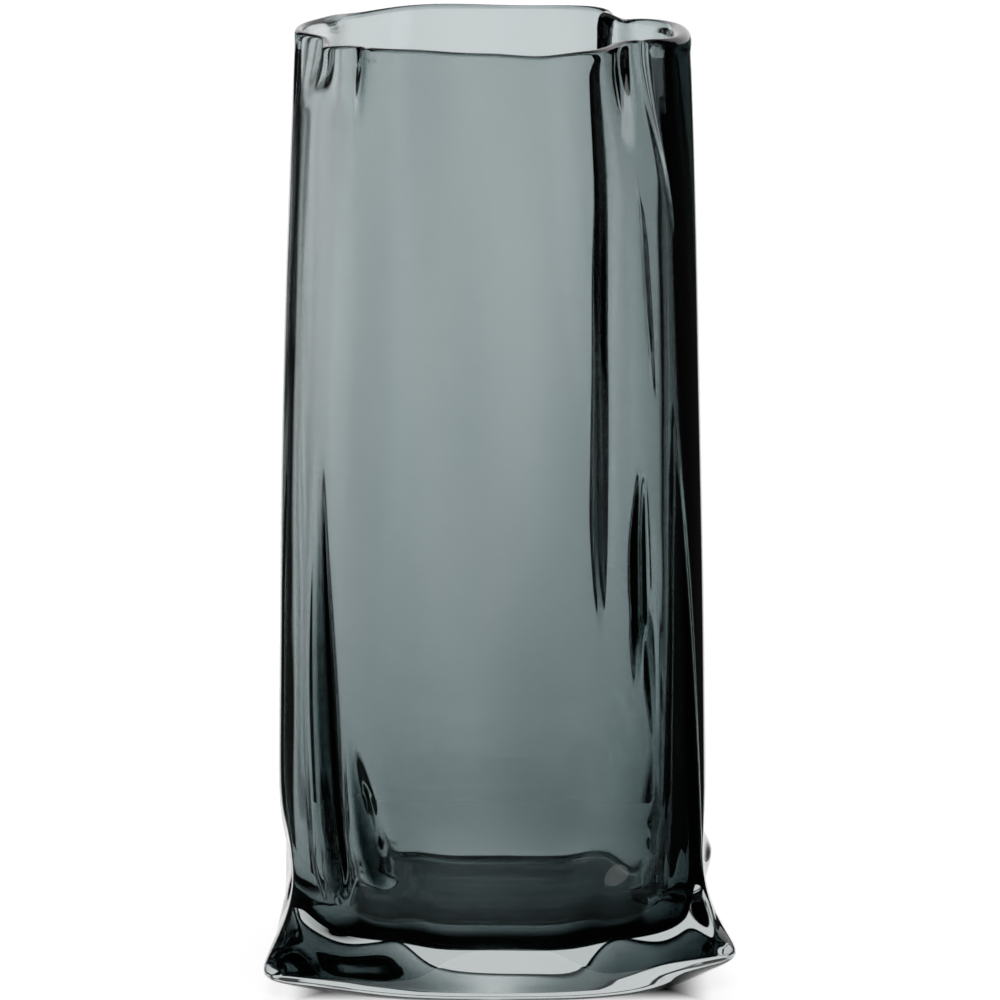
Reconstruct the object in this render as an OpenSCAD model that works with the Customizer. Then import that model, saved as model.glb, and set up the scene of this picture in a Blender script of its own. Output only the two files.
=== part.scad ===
// Square-shouldered glass vase with a round, crumpled mouth and four pulled-out
// corner ears at the base, blown in one piece like a standing paper bag.
// The glass is drawn in three zones that meet on level planes: the solid base
// with the lowest band of wall, the tall wall, and the fire-polished rim.
// Angles run anticlockwise seen from above, from the right-hand side (+X);
// the front of the vase is at 270 degrees (-Y).

/* [Overall] */
// Height of the highest point of the rim above the table
height = 300; // [260:5:340]
// Width of the body between its flat sides, low down
body_w = 138; // [120:1:150]
// Depth of the body between its flat sides, low down
body_d = 138; // [120:1:150]
// Width across the mouth
mouth_w = 125; // [112:1:132]
// Depth across the mouth
mouth_d = 127; // [112:1:132]

/* [Glass] */
// Wall thickness at the mouth
wall_top = 2.6; // [2.4:0.1:4]
// Wall thickness just above the floor
wall_low = 6; // [4:0.1:7]
// Extra glass in the right-hand wall
thick_side = 3.5; // [0:0.5:4]
// Thickness of the solid floor
floor_t = 13; // [10:0.5:16]
// Radius of the hollow where the floor turns up into the wall
floor_fillet = 22; // [14:1:23]
// Radius of the heel where the outside turns under to the foot
heel_r = 4; // [3:0.5:6]

/* [Ears] */
// How far the longest corner ear is pulled out past the body
ear_reach = 17; // [10:0.5:18]
// How much of an ear's shape the hollow inside follows
ear_hollow = 0.45; // [0.2:0.05:0.5]
// Height of the soft corner ridge that runs up from each ear
ridge_h = 1; // [0.5:0.1:2]

/* [Folds] */
// Depth of the long pleat in the back wall, at the rim
pleat_depth = 4.5; // [3:0.5:6]
// How far the mouth is pinched in at its two right-hand corners
pinch_depth = 10; // [4:0.5:11]
// How far the rim dips at the right-hand end of the mouth
rim_dip = 3.2; // [0:0.2:4]

/* [Hidden] */
// Points round each ring of the mesh
SIDES = 80;
// Level planes where the base meets the wall and the wall meets the rim
BASE_TOP = 36;
RIM_FOOT = height - 14;

// Each ear: direction, reach, height of its tip, angular width,
// how far it fades upwards, how far it fades downwards
EARS = [
    [219, ear_reach,         6, 12, 13,  6],
    [328, ear_reach * 0.92, 10, 11, 14,  7],
    [ 38, ear_reach * 0.88, 16, 12, 18,  9],
    [139, ear_reach * 0.76, 24, 13, 20, 12]
];
// Each fold pressed into the wall from outside: direction at the rim, depth
// there, angular half width, height where it starts, turn down to that height
FOLDS = [
    [ 44, pleat_depth,       4.5, height * 0.23, 17],
    [ 35, pinch_depth * 0.9, 14,  height * 0.80,  0],
    [152, 6,                 15,  height * 0.55,  0],
    [203, 6,                 10,  height * 0.92,  0],
    [226, 3,                  5,  height * 0.93,  0],
    [250, 4,                 12,  height * 0.75,  0],
    [322, pinch_depth,       17,  height * 0.80,  0]
];
FOLD_HOOK = 0.4;        // how soon a turning fold swings round below the rim
// Each dent: direction, height, depth, angular half width, half height
DENTS = [
    [243, 30, 4.0,  9,   17],
    [303, 30, 4.5,  9,   17],
    [125, 24, 6.0,  5.5, 20],
    [185, 27, 2.2, 18,   12],
    [ 62, 26, 4.0,  8,   15],
    [200, 28, 2.5,  8,   16],
    [345, 28, 2.5,  8,   16]
];
// Each dip in the rim: direction, depth, angular half width
DIPS = [
    [  0, rim_dip, 25],
    [ 42, 2.0,     10],
    [ 90, 0.5,     25],
    [133, 1.8,     14],
    [213, 1.0,      8],
    [283, 1.2,      9]
];
THICK_SPREAD = 20;      // degrees to either side of the thick wall's middle
EAR_ROUNDING = 4;       // degrees over which an ear's point is rounded
RIDGE_SPREAD = 9;       // degrees
RIDGE_FADE = 85;        // height over which a corner ridge dies out
WAIST_DEPTH = 2.2;      // pinch of both sides just above the ears
WAIST_HEIGHT = 26;
WAIST_SPREAD = 20;
TAPER_POWER = 2.2;      // how late the body draws in towards the mouth
TOP_LEAN = 1.2;         // the mouth leans a little to the left
RIPPLE = [[3, 40, 1.2], [5, 100, 0.7]]; // waves round the wall, phase, size

// 0 below 0, 1 above 1, an easy S between them
function ease(t) = let (u = max(0, min(1, t))) u * u * (3 - 2 * u);
// Signed angle from direction b to direction a, between -180 and 180
function turn(a, b) = ((a - b + 540) % 360) - 180;
// A pointed peak with a softly rounded tip, and a bell
function peak(x, width, rounding) =
    exp(-(sqrt(x * x + rounding * rounding) - rounding) / width);
function bell(x, width) = exp(-pow(x / width, 2));
// How far a round of radius r has come in at height h above its start
function round_in(h, r) =
    let (k = max(0, min(1, 1 - h / r))) r * (1 - sqrt(1 - k * k));

// Half width and half depth of the body at height z
function half_w(z) =
    body_w / 2 - (body_w - mouth_w) / 2 * pow(z / height, TAPER_POWER)
    - WAIST_DEPTH * bell(z - WAIST_HEIGHT, WAIST_SPREAD);
function half_d(z) =
    body_d / 2 - (body_d - mouth_d) / 2 * pow(z / height, TAPER_POWER);
// Squareness of the section: 2 is round, and larger is squarer. The left
// side opens out to a round mouth, and the right side stays square for longer.
function squareness(a, z) =
    let (up = ease((z - 60) / 200), right = 0.5 + 0.5 * cos(a))
    (2.6 - 0.5 * up) * (1 - right) + (3.3 - up) * right;
function body_r(a, z) =
    let (n = squareness(a, z))
    pow(pow(abs(cos(a)) / half_w(z), n) + pow(abs(sin(a)) / half_d(z), n),
        -1 / n);

// One ear at height z above or below its tip, with its corner ridge above it
function ear_r(a, z, ear) =
    let (up = z - ear[2],
         fade = up > 0 ? peak(up, ear[4], 3) : bell(up, ear[5]),
         width = ear[3] * (1 + max(0, min(60, up)) / 60))
    ear[1] * fade * peak(turn(a, ear[0]), width, EAR_ROUNDING)
    + ridge_h * ease((z - 8) / 20) * exp(-z / RIDGE_FADE)
      * peak(turn(a, ear[0]), RIDGE_SPREAD, 3);
function fold_r(a, z, fold) =
    let (up = ease((z - fold[3]) / (height - fold[3])),
         line = fold[0] + fold[4] * pow(max(0, 1 - z / height), FOLD_HOOK))
    -fold[1] * up * bell(turn(a, line), fold[2]);
function dent_r(a, z, dent) =
    -dent[2] * bell(turn(a, dent[0]), dent[3]) * bell(z - dent[1], dent[4]);
function ripple_r(a, z, wave) =
    wave[2] * sin(wave[0] * a + wave[1]) * ease((z - 130) / 170);
function sum(list, i = 0) = i < len(list) ? list[i] + sum(list, i + 1) : 0;
function ears_r(a, z) = sum([for (ear = EARS) ear_r(a, z, ear)]);
function folds_r(a, z) =
    sum([for (fold = FOLDS) fold_r(a, z, fold)])
    + sum([for (dent = DENTS) dent_r(a, z, dent)])
    + sum([for (wave = RIPPLE) ripple_r(a, z, wave)])
    - TOP_LEAN * cos(a) * ease((z - 100) / 200);

function wall_t(a, z) =
    wall_top + (wall_low - wall_top) * pow(1 - z / height, 1.3)
    + thick_side * bell(turn(a, 0), THICK_SPREAD);
// Radius of the outside and of the inside, in direction a at height z
function outer_r(a, z) =
    body_r(a, z) + ears_r(a, z) + folds_r(a, z) - round_in(z, heel_r);
function inner_r(a, z) =
    body_r(a, z) + ear_hollow * ears_r(a, z) + folds_r(a, z) - wall_t(a, z)
    - round_in(z - floor_t, floor_fillet);

// Height of the rim's crest in direction a
function dips(a) = sum([for (dip = DIPS) dip[1] * bell(turn(a, dip[0]), dip[2])]);
LEAST_DIP = min([for (a = [0 : 2 : 358]) dips(a)]);
function crest(a) = height - dips(a) + LEAST_DIP;
// The rim zone stretches between its level foot and the wavy crest
function lifted(a, z) =
    RIM_FOOT + (z - RIM_FOOT) * (crest(a) - RIM_FOOT) / (height - RIM_FOOT);

ANGLES = [for (i = [0 : SIDES - 1]) 360 * i / SIDES];
BASE_OUTER_Z = [0, 0.35, 1.2, 2.4, 4, 6.5, 9.5, 13, 17, 21, 25.5, 30.5, BASE_TOP];
WALL_Z = concat([for (i = [0 : 4]) BASE_TOP + 6 * i],
                [for (i = [1 : 15]) 60 + (RIM_FOOT - 60) * i / 15]);
// The middle of the whole outline, so that it can stand over the origin
WIDEST = [for (z = concat(BASE_OUTER_Z, WALL_Z), a = ANGLES)
          outer_r(a, z) * [cos(a), sin(a)]];
MIDDLE = [(max([for (p = WIDEST) p[0]]) + min([for (p = WIDEST) p[0]])) / 2,
          (max([for (p = WIDEST) p[1]]) + min([for (p = WIDEST) p[1]])) / 2];

function place(a, r, z) = [r * cos(a) - MIDDLE[0], r * sin(a) - MIDDLE[1], z];
function outer_ring(z) = [for (a = ANGLES) place(a, outer_r(a, z), z)];
function inner_ring(z) = [for (a = ANGLES) place(a, inner_r(a, z), z)];
// A ring of the rim's rounded lip: t runs from 0, outside, to 180, inside
function lip_ring(t) =
    let (z = height - wall_top / 2)
    [for (a = ANGLES)
        let (mid = (outer_r(a, z) + inner_r(a, z)) / 2,
             half = (outer_r(a, z) - inner_r(a, z)) / 2)
        place(a, mid + half * cos(t), lifted(a, z) + half * sin(t))];
function rim_ring(z, inside) =
    [for (a = ANGLES)
        place(a, inside ? inner_r(a, z) : outer_r(a, z), lifted(a, z))];

function flat(rings) = [for (ring = rings, p = ring) p];
// Two triangles for each cell between ring i and ring k
function band(i, k) =
    [for (j = [0 : SIDES - 1], half = [0, 1])
        let (next = (j + 1) % SIDES)
        half == 0 ? [i * SIDES + j, k * SIDES + j, k * SIDES + next]
                  : [i * SIDES + j, k * SIDES + next, i * SIDES + next]];

// A hoop of glass whose last ring joins its first
module hoop(rings) {
    n = len(rings);
    polyhedron(flat(rings), [for (i = [0 : n - 1], f = band(i, (i + 1) % n)) f]);
}

// A cup of glass closed by a centre point under the foot and one on the floor
module cup(rings, low, high) {
    n = len(rings);
    foot = n * SIDES;
    polyhedron(
        concat(flat(rings), [low, high]),
        concat(
            [for (i = [0 : n - 2], f = band(i, i + 1)) f],
            [for (j = [0 : SIDES - 1]) [foot, j, (j + 1) % SIDES]],
            [for (j = [0 : SIDES - 1])
                [foot + 1, (n - 1) * SIDES + (j + 1) % SIDES, (n - 1) * SIDES + j]]
        ));
}

// The solid floor with its flat foot, the four ears and the lowest wall
module base() {
    // Heights on the floor's quarter-round hollow, from the wall down
    hollow_z = [for (t = [0, 25, 50, 72, 90])
                floor_t + floor_fillet * (1 - sin(t))];
    color("dimgray", 0.7)
        cup(concat([for (z = BASE_OUTER_Z) outer_ring(z)],
                   [inner_ring(BASE_TOP)],
                   [for (z = hollow_z) inner_ring(z)]),
            place(0, 0, 0) + [MIDDLE[0], MIDDLE[1], 0],
            place(0, 0, floor_t) + [MIDDLE[0], MIDDLE[1], 0]);
}

// The tall blown wall between the two level planes
module wall() {
    n = len(WALL_Z);
    color("slategray", 0.5)
        hoop(concat([for (z = WALL_Z) outer_ring(z)],
                    [for (i = [n - 1 : -1 : 0]) inner_ring(WALL_Z[i])]));
}

// The wavy rim, with its edge melted round in the flame
module rim() {
    shoulder = height - wall_top / 2;
    rise = [0, 0.5];
    color("lightslategray", 0.6)
        hoop(concat(
            [for (k = rise) rim_ring(RIM_FOOT + (shoulder - RIM_FOOT) * k, false)],
            [for (t = [0 : 45 : 180]) lip_ring(t)],
            [for (k = [0.5, 0]) rim_ring(RIM_FOOT + (shoulder - RIM_FOOT) * k, true)]));
}

base();
wall();
rim();
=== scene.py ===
import math

import bpy
import numpy as np
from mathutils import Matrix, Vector


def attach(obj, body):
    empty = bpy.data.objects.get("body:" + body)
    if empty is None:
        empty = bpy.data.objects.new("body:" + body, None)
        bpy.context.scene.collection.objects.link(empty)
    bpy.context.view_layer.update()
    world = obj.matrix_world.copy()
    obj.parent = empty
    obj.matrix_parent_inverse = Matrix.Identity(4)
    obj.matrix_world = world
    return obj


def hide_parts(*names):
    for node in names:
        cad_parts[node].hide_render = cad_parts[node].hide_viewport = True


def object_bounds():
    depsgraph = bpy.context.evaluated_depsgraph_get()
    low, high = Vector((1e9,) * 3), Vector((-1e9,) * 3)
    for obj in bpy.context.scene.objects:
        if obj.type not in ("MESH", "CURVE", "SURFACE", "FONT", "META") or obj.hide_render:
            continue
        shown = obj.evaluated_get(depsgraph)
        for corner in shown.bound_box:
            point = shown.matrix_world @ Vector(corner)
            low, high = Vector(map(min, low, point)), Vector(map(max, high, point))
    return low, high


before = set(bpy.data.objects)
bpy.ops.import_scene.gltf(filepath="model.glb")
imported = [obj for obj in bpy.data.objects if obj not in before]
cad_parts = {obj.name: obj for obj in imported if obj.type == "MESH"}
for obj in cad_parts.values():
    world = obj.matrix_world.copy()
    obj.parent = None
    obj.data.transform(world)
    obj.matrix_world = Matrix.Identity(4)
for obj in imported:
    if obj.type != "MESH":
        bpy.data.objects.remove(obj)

cad_low, cad_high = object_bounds()


# ---- The vase -------------------------------------------------------------
# One piece of smoke-grey soda glass, blown, pressed to a soft square and pinched out into
# an ear at each bottom corner while hot. The mouth was pulled into loose folds, then melted
# smooth in the flame, and the foot was ground flat. Lengths here are in millimetres.

HEIGHT = (cad_high.z - cad_low.z) * 1000
BODY_W, BODY_D = 138.0, 138.0          # between the flat sides, low down
MOUTH_W, MOUTH_D = 125.0, 127.0
SQUARE_LEFT, LOST_LEFT = 2.6, 0.5      # corner exponent (2 is round), and its loss by the mouth
SQUARE_RIGHT, LOST_RIGHT = 3.3, 1.0
TAPER_POWER = 2.2                      # how late the body draws in towards the mouth
WAIST_DEPTH, WAIST_HEIGHT, WAIST_SPREAD = 2.2, 26.0, 20.0
WALL_TOP, WALL_LOW, WALL_POWER = 2.6, 6.0, 1.3
THICK_SIDE, THICK_SPREAD = 3.5, 20     # extra glass on the right-hand side
FLOOR_T, FLOOR_FILLET, HEEL_R = 13.0, 22.0, 4.0
RIM_FOOT = HEIGHT - 14                 # the rim waves above this level
LIP = HEIGHT - WALL_TOP / 2            # centre of the half-round lip
BULGE_FOOT, SHOULDER = 60.0, 260.0     # between these the square body eases to the round mouth
# Each ear: direction, reach, height of its tip, angular width, fade upwards and downwards
EARS = [
    (219, 17.0, 6, 12, 13, 6),
    (328, 15.6, 10, 11, 14, 7),
    (38, 15.0, 16, 12, 18, 9),
    (139, 12.9, 24, 13, 20, 12),
]
EAR_TIP_ROUND, EAR_SIDE_ROUND = 3, 4
EAR_WIDENS = 60                        # an ear is twice as wide this far above its tip
EAR_HOLLOW = 0.45                      # how far the inside follows an ear, as a share of it
RIDGE_H, RIDGE_SPREAD, RIDGE_ROUND = 1.0, 9, 3
RIDGE_START, RIDGE_RISE, RIDGE_FADE = 8, 20, 85
FOLD_HOOK = 0.4                        # how soon a fold turns below the rim
# Each fold: direction at the rim, depth there, half width, height it starts, turn below
FOLDS = [
    (44, 3.0, 4.0, 0.23, 17),
    (35, 9.0, 14.0, 0.80, 0),
    (152, 6.0, 15.0, 0.55, 0),
    (203, 6.0, 10.0, 0.92, 0),
    (226, 3.0, 5.0, 0.93, 0),
    (250, 4.0, 12.0, 0.75, 0),
    (322, 10.0, 17.0, 0.80, 0),
]
# Each ripple round the body: waves, where they start, height
RIPPLE = [(3, 40, 1.2), (5, 100, 0.7)]
RIPPLE_START, RIPPLE_RISE = 130, 170
TOP_LEAN, LEAN_START, LEAN_RISE = 1.2, 100, 200     # the mouth sits a little to the left
# Each dent beside an ear: direction, height, depth, half width, half height
DENTS = [
    (243, 30, 4.0, 9, 17),
    (303, 30, 4.5, 9, 17),
    (125, 24, 4.0, 8, 20),
    (185, 27, 2.2, 18, 12),
    (62, 26, 4.0, 8, 15),
    (200, 28, 2.5, 8, 16),
    (345, 28, 2.5, 8, 16),
]
# Each crease: direction at the rim, turn below and how soon it turns, lowest and highest
# point, length of the lower and upper fade, then depth and half width of the groove outside,
# of the rib inside and of the extra grey laid along it as painted shade
CREASES = [
    (44, 17, 0.4, 84, 330, 50, 1, 1.8, 1.7, 5.0, 2.4, 3.6, 1.8),
    (232, -2, 1, 272, 330, 24, 1, 1.2, 1.8, 0.6, 2.8, 1.2, 1.3),
    (332, -6, 1, 235, 330, 70, 1, 1.0, 2.4, 0.5, 3.4, 0.0, 1.0),
    (315, 1, 1, 185, 262, 40, 30, 0.5, 0.8, 0.0, 1.5, 0.6, 0.8),
    (313, 1, 1, 278, 296, 12, 4, 0.8, 1.2, 0.6, 1.6, 1.0, 1.0),
    (312.6, -4, 1, 112, 171, 18, 30, 0.8, 1.0, 2.5, 2.4, 4.4, 1.0),
    (323.4, -23.3, 1, 96, 132, 28, 14, 0.3, 1.2, 1.5, 2.0, 3.2, 0.8),
    (307.7, 7.2, 1, 80, 132, 40, 14, 0.3, 1.2, 1.5, 2.0, 3.2, 0.8),
    (219, 12.3, 3, 24, 180, 20, 95, -1.2, 2.6, 1.5, 3.5, 3.2, 2.2),
    (322, 3, 1, 12, 190, 14, 140, -2.6, 3.2, 0.8, 5.0, 0.0, 1.0),
    (201.2, 42.5, 1, 32, 87, 8, 46, 0.4, 3.4, 2.0, 4.2, 5.0, 2.3),
]
# GREY picks the extra grey along a crease, which is painted shade
GROOVE, RIB, GREY = 0, 1, 2
CREASE_TIP = 0.35                      # width of a crease at its ends, as a share of the middle
RIM_BEAD, BEAD_DROP, BEAD_SPREAD = 0.35, 2.0, 2.2
# Each dip in the rim: direction, depth, half width
RIM_DIPS = [
    (0, 3.2, 25),
    (42, 2.0, 10),
    (90, 0.5, 25),
    (133, 1.8, 14),
    (213, 1.0, 8),
    (283, 1.2, 9),
]


def ease(t):
    """A soft step from 0 to 1."""
    t = np.clip(t, 0, 1)
    return t * t * (3 - 2 * t)


def turn(a, b):
    """The shorter way round from b to a, in degrees."""
    return (a - b + 540) % 360 - 180


def peak(x, width, rounding):
    """A ridge with a rounded top, 1 at the middle."""
    return np.exp(-(np.sqrt(x * x + rounding * rounding) - rounding) / width)


def bell(x, width):
    """A soft hump, 1 at the middle."""
    return np.exp(-((x / width) ** 2))


def round_in(h, r):
    """How far a quarter-round edge of radius r draws in at height h."""
    k = np.clip(1 - h / r, 0, 1)
    return r * (1 - np.sqrt(1 - k * k))


def body_r(a, z):
    """The soft square of the body, rounder and narrower towards the mouth."""
    part_up = (z / HEIGHT) ** TAPER_POWER
    half_w = BODY_W / 2 - (BODY_W - MOUTH_W) / 2 * part_up
    half_w = half_w - WAIST_DEPTH * bell(z - WAIST_HEIGHT, WAIST_SPREAD)
    half_d = BODY_D / 2 - (BODY_D - MOUTH_D) / 2 * part_up
    up = ease((z - BULGE_FOOT) / (SHOULDER - BULGE_FOOT))
    right = 0.5 + 0.5 * np.cos(np.radians(a))
    n = (SQUARE_LEFT - LOST_LEFT * up) * (1 - right) + (SQUARE_RIGHT - LOST_RIGHT * up) * right
    across = np.abs(np.cos(np.radians(a))) / half_w
    along = np.abs(np.sin(np.radians(a))) / half_d
    return (across**n + along**n) ** (-1 / n)


def ears_r(a, z):
    """The four pulled-out ears, and the ridges that run up from them."""
    out = 0 * a
    for way, reach, tip, width, rise, fall in EARS:
        up = z - tip
        fade = np.where(up > 0, peak(up, rise, EAR_TIP_ROUND), bell(up, fall))
        spread = width * (1 + np.clip(up, 0, EAR_WIDENS) / EAR_WIDENS)
        out = out + reach * fade * peak(turn(a, way), spread, EAR_SIDE_ROUND)
        ridge = RIDGE_H * ease((z - RIDGE_START) / RIDGE_RISE) * np.exp(-z / RIDGE_FADE)
        out = out + ridge * peak(turn(a, way), RIDGE_SPREAD, RIDGE_ROUND)
    return out


def folds_r(a, z):
    """The folds that run down from the mouth, and the ripple of the body."""
    out = -TOP_LEAN * np.cos(np.radians(a)) * ease((z - LEAN_START) / LEAN_RISE)
    for way, depth, width, start, lean in FOLDS:
        up = ease((z / HEIGHT - start) / (1 - start))
        line = way + lean * np.clip(1 - z / HEIGHT, 0, 1) ** FOLD_HOOK
        out = out - depth * up * bell(turn(a, line), width)
    for waves, phase, size in RIPPLE:
        up = ease((z - RIPPLE_START) / RIPPLE_RISE)
        out = out + size * np.sin(np.radians(waves * a + phase)) * up
    return out


def dents_r(a, z):
    """The dents that the tongs left beside the ears."""
    out = 0 * a
    for way, height, depth, width, tall in DENTS:
        out = out - depth * bell(turn(a, way), width) * bell(z - height, tall)
    return out


def along_creases(a, z, what):
    """Depth of the creases: their grooves outside, ribs inside, or the grey laid along them as
    painted shade.
    """
    out = 0 * a
    for way, lean, soon, low, high, rise, fall, *sizes in CREASES:
        line = way + lean * np.clip(1 - z / HEIGHT, 0, 1) ** soon
        there = ease((z - low) / rise) * ease((high - z) / fall)
        depth, width = sizes[2 * what], sizes[2 * what + 1]
        narrowed = width * (CREASE_TIP + (1 - CREASE_TIP) * there)
        out = out + depth * there * bell(turn(a, line), narrowed)
    return out


def wall_t(a, z):
    """Thickness of the glass, which ran down and to the right while it was soft."""
    lower = (WALL_LOW - WALL_TOP) * (1 - z / HEIGHT) ** WALL_POWER
    return WALL_TOP + lower + THICK_SIDE * bell(turn(a, 0), THICK_SPREAD)


def bead(a, z):
    """The lumpy swelling that the flame left at the rim."""
    lumps = 1 + 0.8 * np.sin(np.radians(3 * a + 40)) + 0.5 * np.sin(np.radians(8 * a))
    return RIM_BEAD * lumps * bell(z - HEIGHT + BEAD_DROP, BEAD_SPREAD)


def outer_r(a, z):
    shape = body_r(a, z) + folds_r(a, z) + dents_r(a, z) - along_creases(a, z, GROOVE)
    return shape + ears_r(a, z) + bead(a, z) - round_in(z, HEEL_R)


def inner_r(a, z):
    hollow = round_in(z - FLOOR_T, FLOOR_FILLET)
    shape = body_r(a, z) + folds_r(a, z) + dents_r(a, z) - along_creases(a, z, RIB)
    return shape + EAR_HOLLOW * ears_r(a, z) - wall_t(a, z) - bead(a, z) - hollow


def wave_down(a):
    """How far the rim dips below its highest point."""
    return sum(depth * bell(turn(a, way), width) for way, depth, width in RIM_DIPS)


def lifted(a, z):
    """Stretches the rim zone between its level foot and the wavy crest."""
    crest = HEIGHT - wave_down(a) + wave_down(np.arange(0, 360, 1.0)).min()
    part = (z - RIM_FOOT) / (HEIGHT - RIM_FOOT)
    return np.where(z > RIM_FOOT, RIM_FOOT + part * (crest - RIM_FOOT), z)


# Points stand closer together at the creases and the ears
SIDES = 360
CROWDED, CROWDING, CROWD_SPREAD = [57, 224, 310, 328], 3.5, 7
spots = np.arange(0, 360, 0.25)
crowd = 1 + sum(CROWDING * bell(turn(spots, way), CROWD_SPREAD) for way in CROWDED)
steps = np.concatenate([[0], np.cumsum(crowd)])
angles = np.interp(np.arange(SIDES) / SIDES * steps[-1], steps, np.append(spots, 360))


def ring(r, z):
    a = np.radians(angles)
    return np.stack([r * np.cos(a), r * np.sin(a), z + 0 * a], axis=1)


def level(radius, z):
    """The ring in which a surface passes a height."""
    z = z + 0 * angles
    return ring(radius(angles, z), lifted(angles, z))


lip_z = lifted(angles, LIP + 0 * angles)
lip_out, lip_in = outer_r(angles, LIP + 0 * angles), inner_r(angles, LIP + 0 * angles)


def lip_ring(t, inset):
    """A ring on the half-round lip, t round it from outside (0) to inside (pi)."""
    half = (lip_out - lip_in) / 2 - inset
    return ring((lip_out + lip_in) / 2 + half * math.cos(t), lip_z + half * math.sin(t))


quarter = np.linspace(0, math.pi / 2, 16)
outer_z = np.concatenate([HEEL_R * (1 - np.cos(np.linspace(0, math.pi / 2, 9)))[:-1],
                          np.linspace(HEEL_R, BULGE_FOOT, 40)[:-1],
                          np.linspace(BULGE_FOOT, SHOULDER, 50)[:-1],
                          np.linspace(SHOULDER, LIP, 22)])
inner_z = np.concatenate([np.linspace(LIP, SHOULDER, 22)[:-1],
                          np.linspace(SHOULDER, BULGE_FOOT, 50)[:-1],
                          np.linspace(BULGE_FOOT, FLOOR_T + FLOOR_FILLET, 24)[:-1],
                          FLOOR_T + FLOOR_FILLET * (1 - np.sin(quarter))])
rings = [level(outer_r, z) for z in outer_z]
rings += [lip_ring(t, 0) for t in np.linspace(0, math.pi, 9)[1:-1]]
rings += [level(inner_r, z) for z in inner_z]
# The flat floor and the flat foot close the two ends
foot_edge, floor_edge = rings[0], rings[-1]
rings += [floor_edge * [part, part, 1] for part in np.linspace(1, 0, 20)[1:-1]]
rings = [foot_edge * [part, part, 1] for part in (0.4, 0.8, 0.93, 0.97, 0.985, 0.995)] + rings
# The origin stands in the middle of the outline
outline = np.concatenate(rings)
middle = (outline.max(axis=0) + outline.min(axis=0)) / 2 * [1, 1, 0]


def closed_skin(name, rings, foot_z, floor_z):
    """A closed mesh through rings that run up the outside and back down the inside."""
    points = np.concatenate(rings + [[[0, 0, foot_z]], [[0, 0, floor_z]]])
    faces = []
    for i in range(len(rings) - 1):
        low, high = i * SIDES, (i + 1) * SIDES
        for j in range(SIDES):
            k = (j + 1) % SIDES
            faces.append((low + j, low + k, high + k, high + j))
    last, foot = (len(rings) - 1) * SIDES, len(rings) * SIDES
    floor = foot + 1
    for j in range(SIDES):
        k = (j + 1) % SIDES
        faces.append((foot, k, j))
        faces.append((floor, last + j, last + k))
    mesh = bpy.data.meshes.new(name)
    mesh.from_pydata(((points - middle) / 1000).tolist(), [], faces)
    mesh.shade_smooth()
    skin = bpy.data.objects.new(name, mesh)
    bpy.context.collection.objects.link(skin)
    return skin


def math_node(tree, kind, *values):
    """Works out one value from one or two others, which are numbers or outputs of nodes."""
    node = tree.nodes.new("ShaderNodeMath")
    node.operation = kind
    for slot, value in enumerate(values):
        if isinstance(value, (int, float)):
            node.inputs[slot].default_value = value
        else:
            tree.links.new(value, node.inputs[slot])
    return node.outputs[0]


def map_range(tree, value, start, end, low, high, kind="LINEAR"):
    """The value's range from start to end, laid over low to high."""
    node = tree.nodes.new("ShaderNodeMapRange")
    node.interpolation_type = kind
    for name, number in zip(("From Min", "From Max", "To Min", "To Max"), (start, end, low, high)):
        node.inputs[name].default_value = number
    tree.links.new(value, node.inputs["Value"])
    return node.outputs[0]


def noise(tree, place, scale, detail):
    node = tree.nodes.new("ShaderNodeTexNoise")
    node.inputs["Scale"].default_value = scale
    node.inputs["Detail"].default_value = detail
    tree.links.new(place, node.inputs["Vector"])
    return node.outputs["Fac"]


def absorb(tree, colour, density):
    """Tints the glass through its thickness."""
    node = tree.nodes.new("ShaderNodeVolumeAbsorption")
    node.inputs["Color"].default_value = colour
    node.inputs["Density"].default_value = density
    tree.links.new(node.outputs[0], tree.nodes["Material Output"].inputs["Volume"])


GLASS_IOR = 1.5
CASING_TINT, CASING_DENSITY = (0.18, 0.245, 0.25, 1), 6
CORD_TINT, CORD_STRETCH, CORD_SCALE = (0.95, 0.975, 0.97, 1), 0.22, 55
CLEAR_BELOW, DULL_ABOVE = 0.012, 0.03  # in metres: the heel is clear and smooth below the first
DULL_MOST, DULL_SCALE = 0.035, 16
WAVE_SCALE, WAVE_HEIGHT, WAVE_STRENGTH = 38, 0.0006, 0.5
casing = closed_skin("casing", rings, 0, FLOOR_T)
casing_glass = bpy.data.materials.new("clear_casing")
casing_glass.use_nodes = True
tree = casing_glass.node_tree
glass = tree.nodes["Principled BSDF"]
glass.inputs["IOR"].default_value = GLASS_IOR
glass.inputs["Transmission Weight"].default_value = 1.0
place = tree.nodes.new("ShaderNodeTexCoord").outputs["Object"]
stretch = tree.nodes.new("ShaderNodeMapping")
stretch.inputs["Scale"].default_value = (1, 1, CORD_STRETCH)
tree.links.new(place, stretch.inputs["Vector"])
upright = stretch.outputs[0]
# Cords: faint upright streaks in the melt, a little greener than the rest
tone = tree.nodes.new("ShaderNodeValToRGB")
tone.color_ramp.elements[0].color = CORD_TINT
tone.color_ramp.elements[0].position = 0.3
tone.color_ramp.elements[1].color = (1, 1, 1, 1)
tone.color_ramp.elements[1].position = 0.7
tree.links.new(noise(tree, upright, CORD_SCALE, 3), tone.inputs["Fac"])
tree.links.new(tone.outputs["Color"], glass.inputs["Base Color"])
# Fire-polished all over, a little duller in soft patches, but clear and smooth at the heel
split = tree.nodes.new("ShaderNodeSeparateXYZ")
tree.links.new(place, split.inputs[0])
above_heel = map_range(tree, split.outputs["Z"], CLEAR_BELOW, DULL_ABOVE, 0, 1)
dull = map_range(tree, noise(tree, place, DULL_SCALE, 4), 0.45, 0.8, 0, DULL_MOST)
tree.links.new(math_node(tree, "MULTIPLY", dull, above_heel), glass.inputs["Roughness"])
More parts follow.
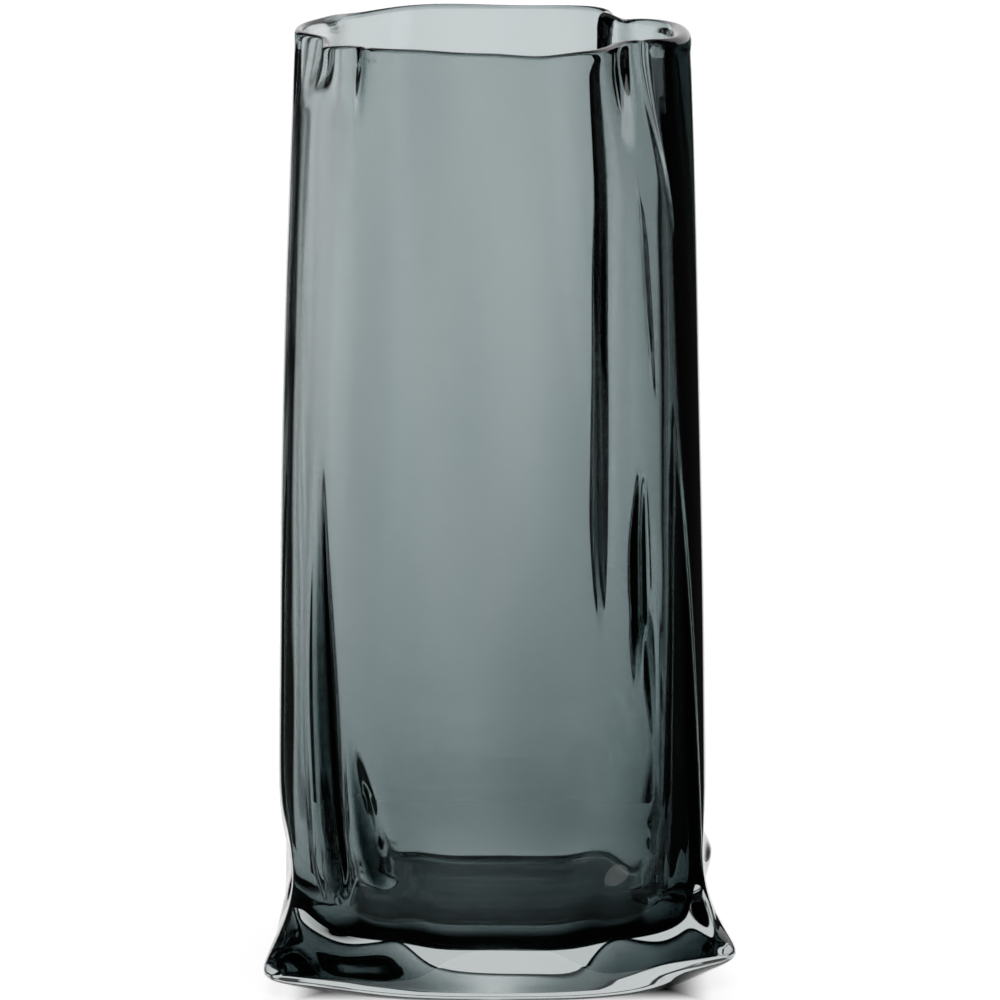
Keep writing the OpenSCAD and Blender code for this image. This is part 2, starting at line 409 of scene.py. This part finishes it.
# The skin is slightly wavy where it froze in the air
waves = math_node(tree, "MULTIPLY", noise(tree, upright, WAVE_SCALE, 1.5), above_heel)
wavy = tree.nodes.new("ShaderNodeBump")
wavy.inputs["Strength"].default_value = WAVE_STRENGTH
wavy.inputs["Distance"].default_value = WAVE_HEIGHT
tree.links.new(waves, wavy.inputs["Height"])
tree.links.new(wavy.outputs[0], glass.inputs["Normal"])
absorb(tree, CASING_TINT, CASING_DENSITY)
casing.data.materials.append(casing_glass)

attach(casing, "root")
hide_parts("base", "wall", "rim")


# ---- The smoke layer --------------------------------------------------------
# The grey first gather, cased in the clear glass. It lies just under the inner surface and
# runs under the floor. It is 0.3 to 2 mm thick, more to the right, thicker downwards as painted
# shade of the lower body, and thicker along the creases as painted shade in them.

SKIN = 0.15                            # clear glass between the layer and the inner surface
GREY_T, GREY_SHADE_TOP = 0.58, 230.0    # thickness at the mouth, and where it starts to grow downwards, as painted shade
# More grey near the foot, also painted shade of the lower body
GREY_SHADE_LOW, GREY_SHADE_LOW_SPREAD = 0.5, 45
GREY_MORE_RIGHT, GREY_LESS_LEFT = 0.3, 0.5
GREY_OVER_LIP = 1.1                    # how deep the grey goes under the lip
GREY_FLOOR_THIN, GREY_FLOOR_THICK = 0.02, 0.52
GREY_TINT, GREY_DENSITY = (0.13, 0.245, 0.26, 1), 960
# Each set of streaks: share of the thickness, streaks round the vase, how steeply they climb
STREAKS = [(0.05, 5, 55), (0.04, 11, -38)]


def grey_t(a, z):
    """Thickness of the layer: more to the right, less to the left, and more downwards and in the
    creases, where it is painted shade.
    """
    # Thicker, so darker, downwards and near the foot: painted shade of the lower body
    lower = np.clip((GREY_SHADE_TOP - z) / GREY_SHADE_TOP, 0, 1) ** 1.5
    lower = lower + GREY_SHADE_LOW * bell(z, GREY_SHADE_LOW_SPREAD)
    streaks = 1
    for share, waves, climb in STREAKS:
        streaks = streaks + share * np.sin(np.radians(waves * a) + z / climb)
    side = np.cos(np.radians(a))
    sides = 1 + GREY_MORE_RIGHT * ease(side / 0.8) - GREY_LESS_LEFT * ease((-side - 0.55) / 0.4)
    # The grey along the creases is painted shade in them
    return GREY_T * (1 + lower) * sides * streaks + along_creases(a, z, GREY)


def grey_floor_t(a):
    """Thickness under the floor, least at the front and the back."""
    away = (1 - bell(turn(a, 270), 42)) * (1 - bell(turn(a, 90), 50))
    return GREY_FLOOR_THIN + (GREY_FLOOR_THICK - GREY_FLOOR_THIN) * away


def grey_out_r(a, z):
    return inner_r(a, z) + SKIN + grey_t(a, z)


def grey_in_r(a, z):
    return inner_r(a, z) + SKIN


grey_z = np.concatenate([(FLOOR_T + FLOOR_FILLET * (1 - np.cos(quarter)))[:-1],
                         np.linspace(FLOOR_T + FLOOR_FILLET, BULGE_FOOT, 20)[:-1],
                         np.linspace(BULGE_FOOT, SHOULDER, 44)[:-1],
                         np.linspace(SHOULDER, LIP, 18)])
layer = [level(grey_out_r, z) for z in grey_z]
over_lip = np.linspace(math.pi, 1.0, 7)[1:]
layer += [lip_ring(t, GREY_OVER_LIP) for t in over_lip]
layer += [lip_ring(t, SKIN) for t in over_lip[::-1]]
layer += [level(grey_in_r, z) for z in grey_z[::-1]]
# Under the floor the layer drops by its own thickness
for i, height in enumerate(grey_z):
    part = float(np.clip(1 - (height - FLOOR_T) / FLOOR_FILLET, 0, 1)) ** 2
    layer[i][:, 2] -= (SKIN + grey_floor_t(angles)) * part
    layer[-1 - i][:, 2] -= SKIN * part
under_edge, over_edge = layer[0], layer[-1]
parts = np.linspace(0, 1, 12)[1:-1]
layer = [under_edge * [part, part, 1] for part in parts] + layer
layer += [over_edge * [part, part, 1] for part in parts[::-1]]
smoke = closed_skin("smoke_layer", layer, FLOOR_T - 2 * SKIN, FLOOR_T - SKIN)

# The same glass as the casing on both sides, so its skins don't bend the light
grey_glass = bpy.data.materials.new("smoke_layer")
grey_glass.use_nodes = True
tree = grey_glass.node_tree
glass = tree.nodes["Principled BSDF"]
glass.inputs["Base Color"].default_value = (1, 1, 1, 1)
glass.inputs["Roughness"].default_value = 0.0
glass.inputs["IOR"].default_value = 1.0
glass.inputs["Transmission Weight"].default_value = 1.0
absorb(tree, GREY_TINT, GREY_DENSITY)
smoke.data.materials.append(grey_glass)

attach(smoke, "root")


# ---- The table ------------------------------------------------------------
# A small round table top of matt white plastic, lit from below like a light table. Under the
# vase its glow and its white fade to black, a painted shadow, so that the solid base stays dark.

TABLE_R, TABLE_DROP = 0.13, 0.0002     # the drop keeps it clear of the foot
TABLE_GLOW, TABLE_WHITE = 0.76, 0.9
PAINTED_SHADOW_IN, PAINTED_SHADOW_OUT = 0.053, 0.068       # where the painted shadow under the vase starts to fade and where it is gone, out from the middle
bpy.ops.mesh.primitive_circle_add(vertices=128, radius=TABLE_R, fill_type="NGON",
                                  location=(0, 0, -TABLE_DROP))
table = bpy.context.object
table.name = "table"
white = bpy.data.materials.new("white_table")
white.use_nodes = True
tree = white.node_tree
plastic = tree.nodes["Principled BSDF"]
plastic.inputs["Roughness"].default_value = 0.6
plastic.inputs["Emission Color"].default_value = (1, 1, 1, 1)
split = tree.nodes.new("ShaderNodeSeparateXYZ")
tree.links.new(tree.nodes.new("ShaderNodeTexCoord").outputs["Object"], split.inputs[0])
across, along = (math_node(tree, "ABSOLUTE", split.outputs[axis]) for axis in "XY")
out = math_node(tree, "MAXIMUM", across, along)
# Painted shadow: glow and white both fade to nothing under the vase
for slot, most in (("Emission Strength", TABLE_GLOW), ("Base Color", TABLE_WHITE)):
    painted_shadow = map_range(tree, out, PAINTED_SHADOW_IN, PAINTED_SHADOW_OUT, 0, most, "SMOOTHSTEP")
    tree.links.new(painted_shadow, plastic.inputs[slot])
table.data.materials.append(white)


# ---- Light and camera -------------------------------------------------------
# A light tent: one broad lit panel behind the vase, three narrow ones round it and a soft
# light overhead, and dark cloth elsewhere, so that the edges of the glass turn black.

# Each lit panel: bearing, half width below and above the horizon, and how far it swings there
PANELS = [(0, 12, 42, 18), (-45, 7, 10, 0), (-90, 7, 10, 0), (135, 7, 10, 0)]
PANEL_LIGHT, DARK_CLOTH, PANEL_EDGE = 1.05, 0.012, 5
# Heights here are those of a direction, from 0 at the horizon to 1 straight up
PANEL_WIDENS = 0.06                    # the panel behind has its upper width from here
PANEL_FADES, PANEL_GONE = 0.5, 0.75
OVERHEAD_EDGE, OVERHEAD_LIGHT = 0.7, 0.6
world = bpy.data.worlds.new("light_tent")
bpy.context.scene.world = world
world.use_nodes = True
tree = world.node_tree
backdrop = tree.nodes["Background"]
backdrop.inputs["Color"].default_value = (1, 1, 1, 1)
split = tree.nodes.new("ShaderNodeSeparateXYZ")
tree.links.new(tree.nodes.new("ShaderNodeTexCoord").outputs["Generated"], split.inputs[0])
bearing = math_node(tree, "ARCTAN2", split.outputs["X"], split.outputs["Y"])
bearing = math_node(tree, "MULTIPLY", bearing, 180 / math.pi)
steep = split.outputs["Z"]
above = map_range(tree, steep, 0, PANEL_WIDENS, 0, 1, "SMOOTHSTEP")
below_top = map_range(tree, steep, PANEL_FADES, PANEL_GONE, 1, DARK_CLOTH, "SMOOTHSTEP")
# The side panels are flagged off, so that they don't show as reflections
mirrored = tree.nodes.new("ShaderNodeLightPath").outputs["Is Reflection Ray"]
direct = math_node(tree, "SUBTRACT", 1, mirrored)
light = map_range(tree, steep, OVERHEAD_EDGE, 1, 0, OVERHEAD_LIGHT, "SMOOTHSTEP")
for way, half, half_above, swing in PANELS:
    middle_way = math_node(tree, "ADD", math_node(tree, "MULTIPLY", above, swing), way)
    off = math_node(tree, "SUBTRACT", bearing, middle_way)
    turns = math_node(tree, "ROUND", math_node(tree, "DIVIDE", off, 360))
    off = math_node(tree, "SUBTRACT", off, math_node(tree, "MULTIPLY", turns, 360))
    off = math_node(tree, "ABSOLUTE", off)
    off = math_node(tree, "SUBTRACT", off, math_node(tree, "MULTIPLY", above, half_above - half))
    panel = map_range(tree, off, half, half + PANEL_EDGE, PANEL_LIGHT, DARK_CLOTH, "SMOOTHSTEP")
    panel = math_node(tree, "MULTIPLY", panel, below_top)
    if way:
        panel = math_node(tree, "MULTIPLY", panel, direct)
    light = math_node(tree, "MAXIMUM", light, panel)
tree.links.new(light, backdrop.inputs["Strength"])

SENSOR_W, LENS = 36, 195.6             # millimetres
CAMERA_BACK, CAMERA_UP, AIM_UP = 1.707, 0.522, 0.1474
eye = bpy.data.cameras.new("camera")
eye.sensor_width = SENSOR_W
eye.lens = LENS
camera = bpy.data.objects.new("camera", eye)
bpy.context.collection.objects.link(camera)
camera.location = (0, -CAMERA_BACK, CAMERA_UP)
look_at = Vector((0, 0, AIM_UP))
camera.rotation_euler = (look_at - camera.location).to_track_quat("-Z", "Y").to_euler()

scene = bpy.context.scene
scene.camera = camera
scene.view_settings.view_transform = "Standard"
scene.cycles.max_bounces = 32
scene.cycles.transmission_bounces = 32
scene.cycles.glossy_bounces = 16
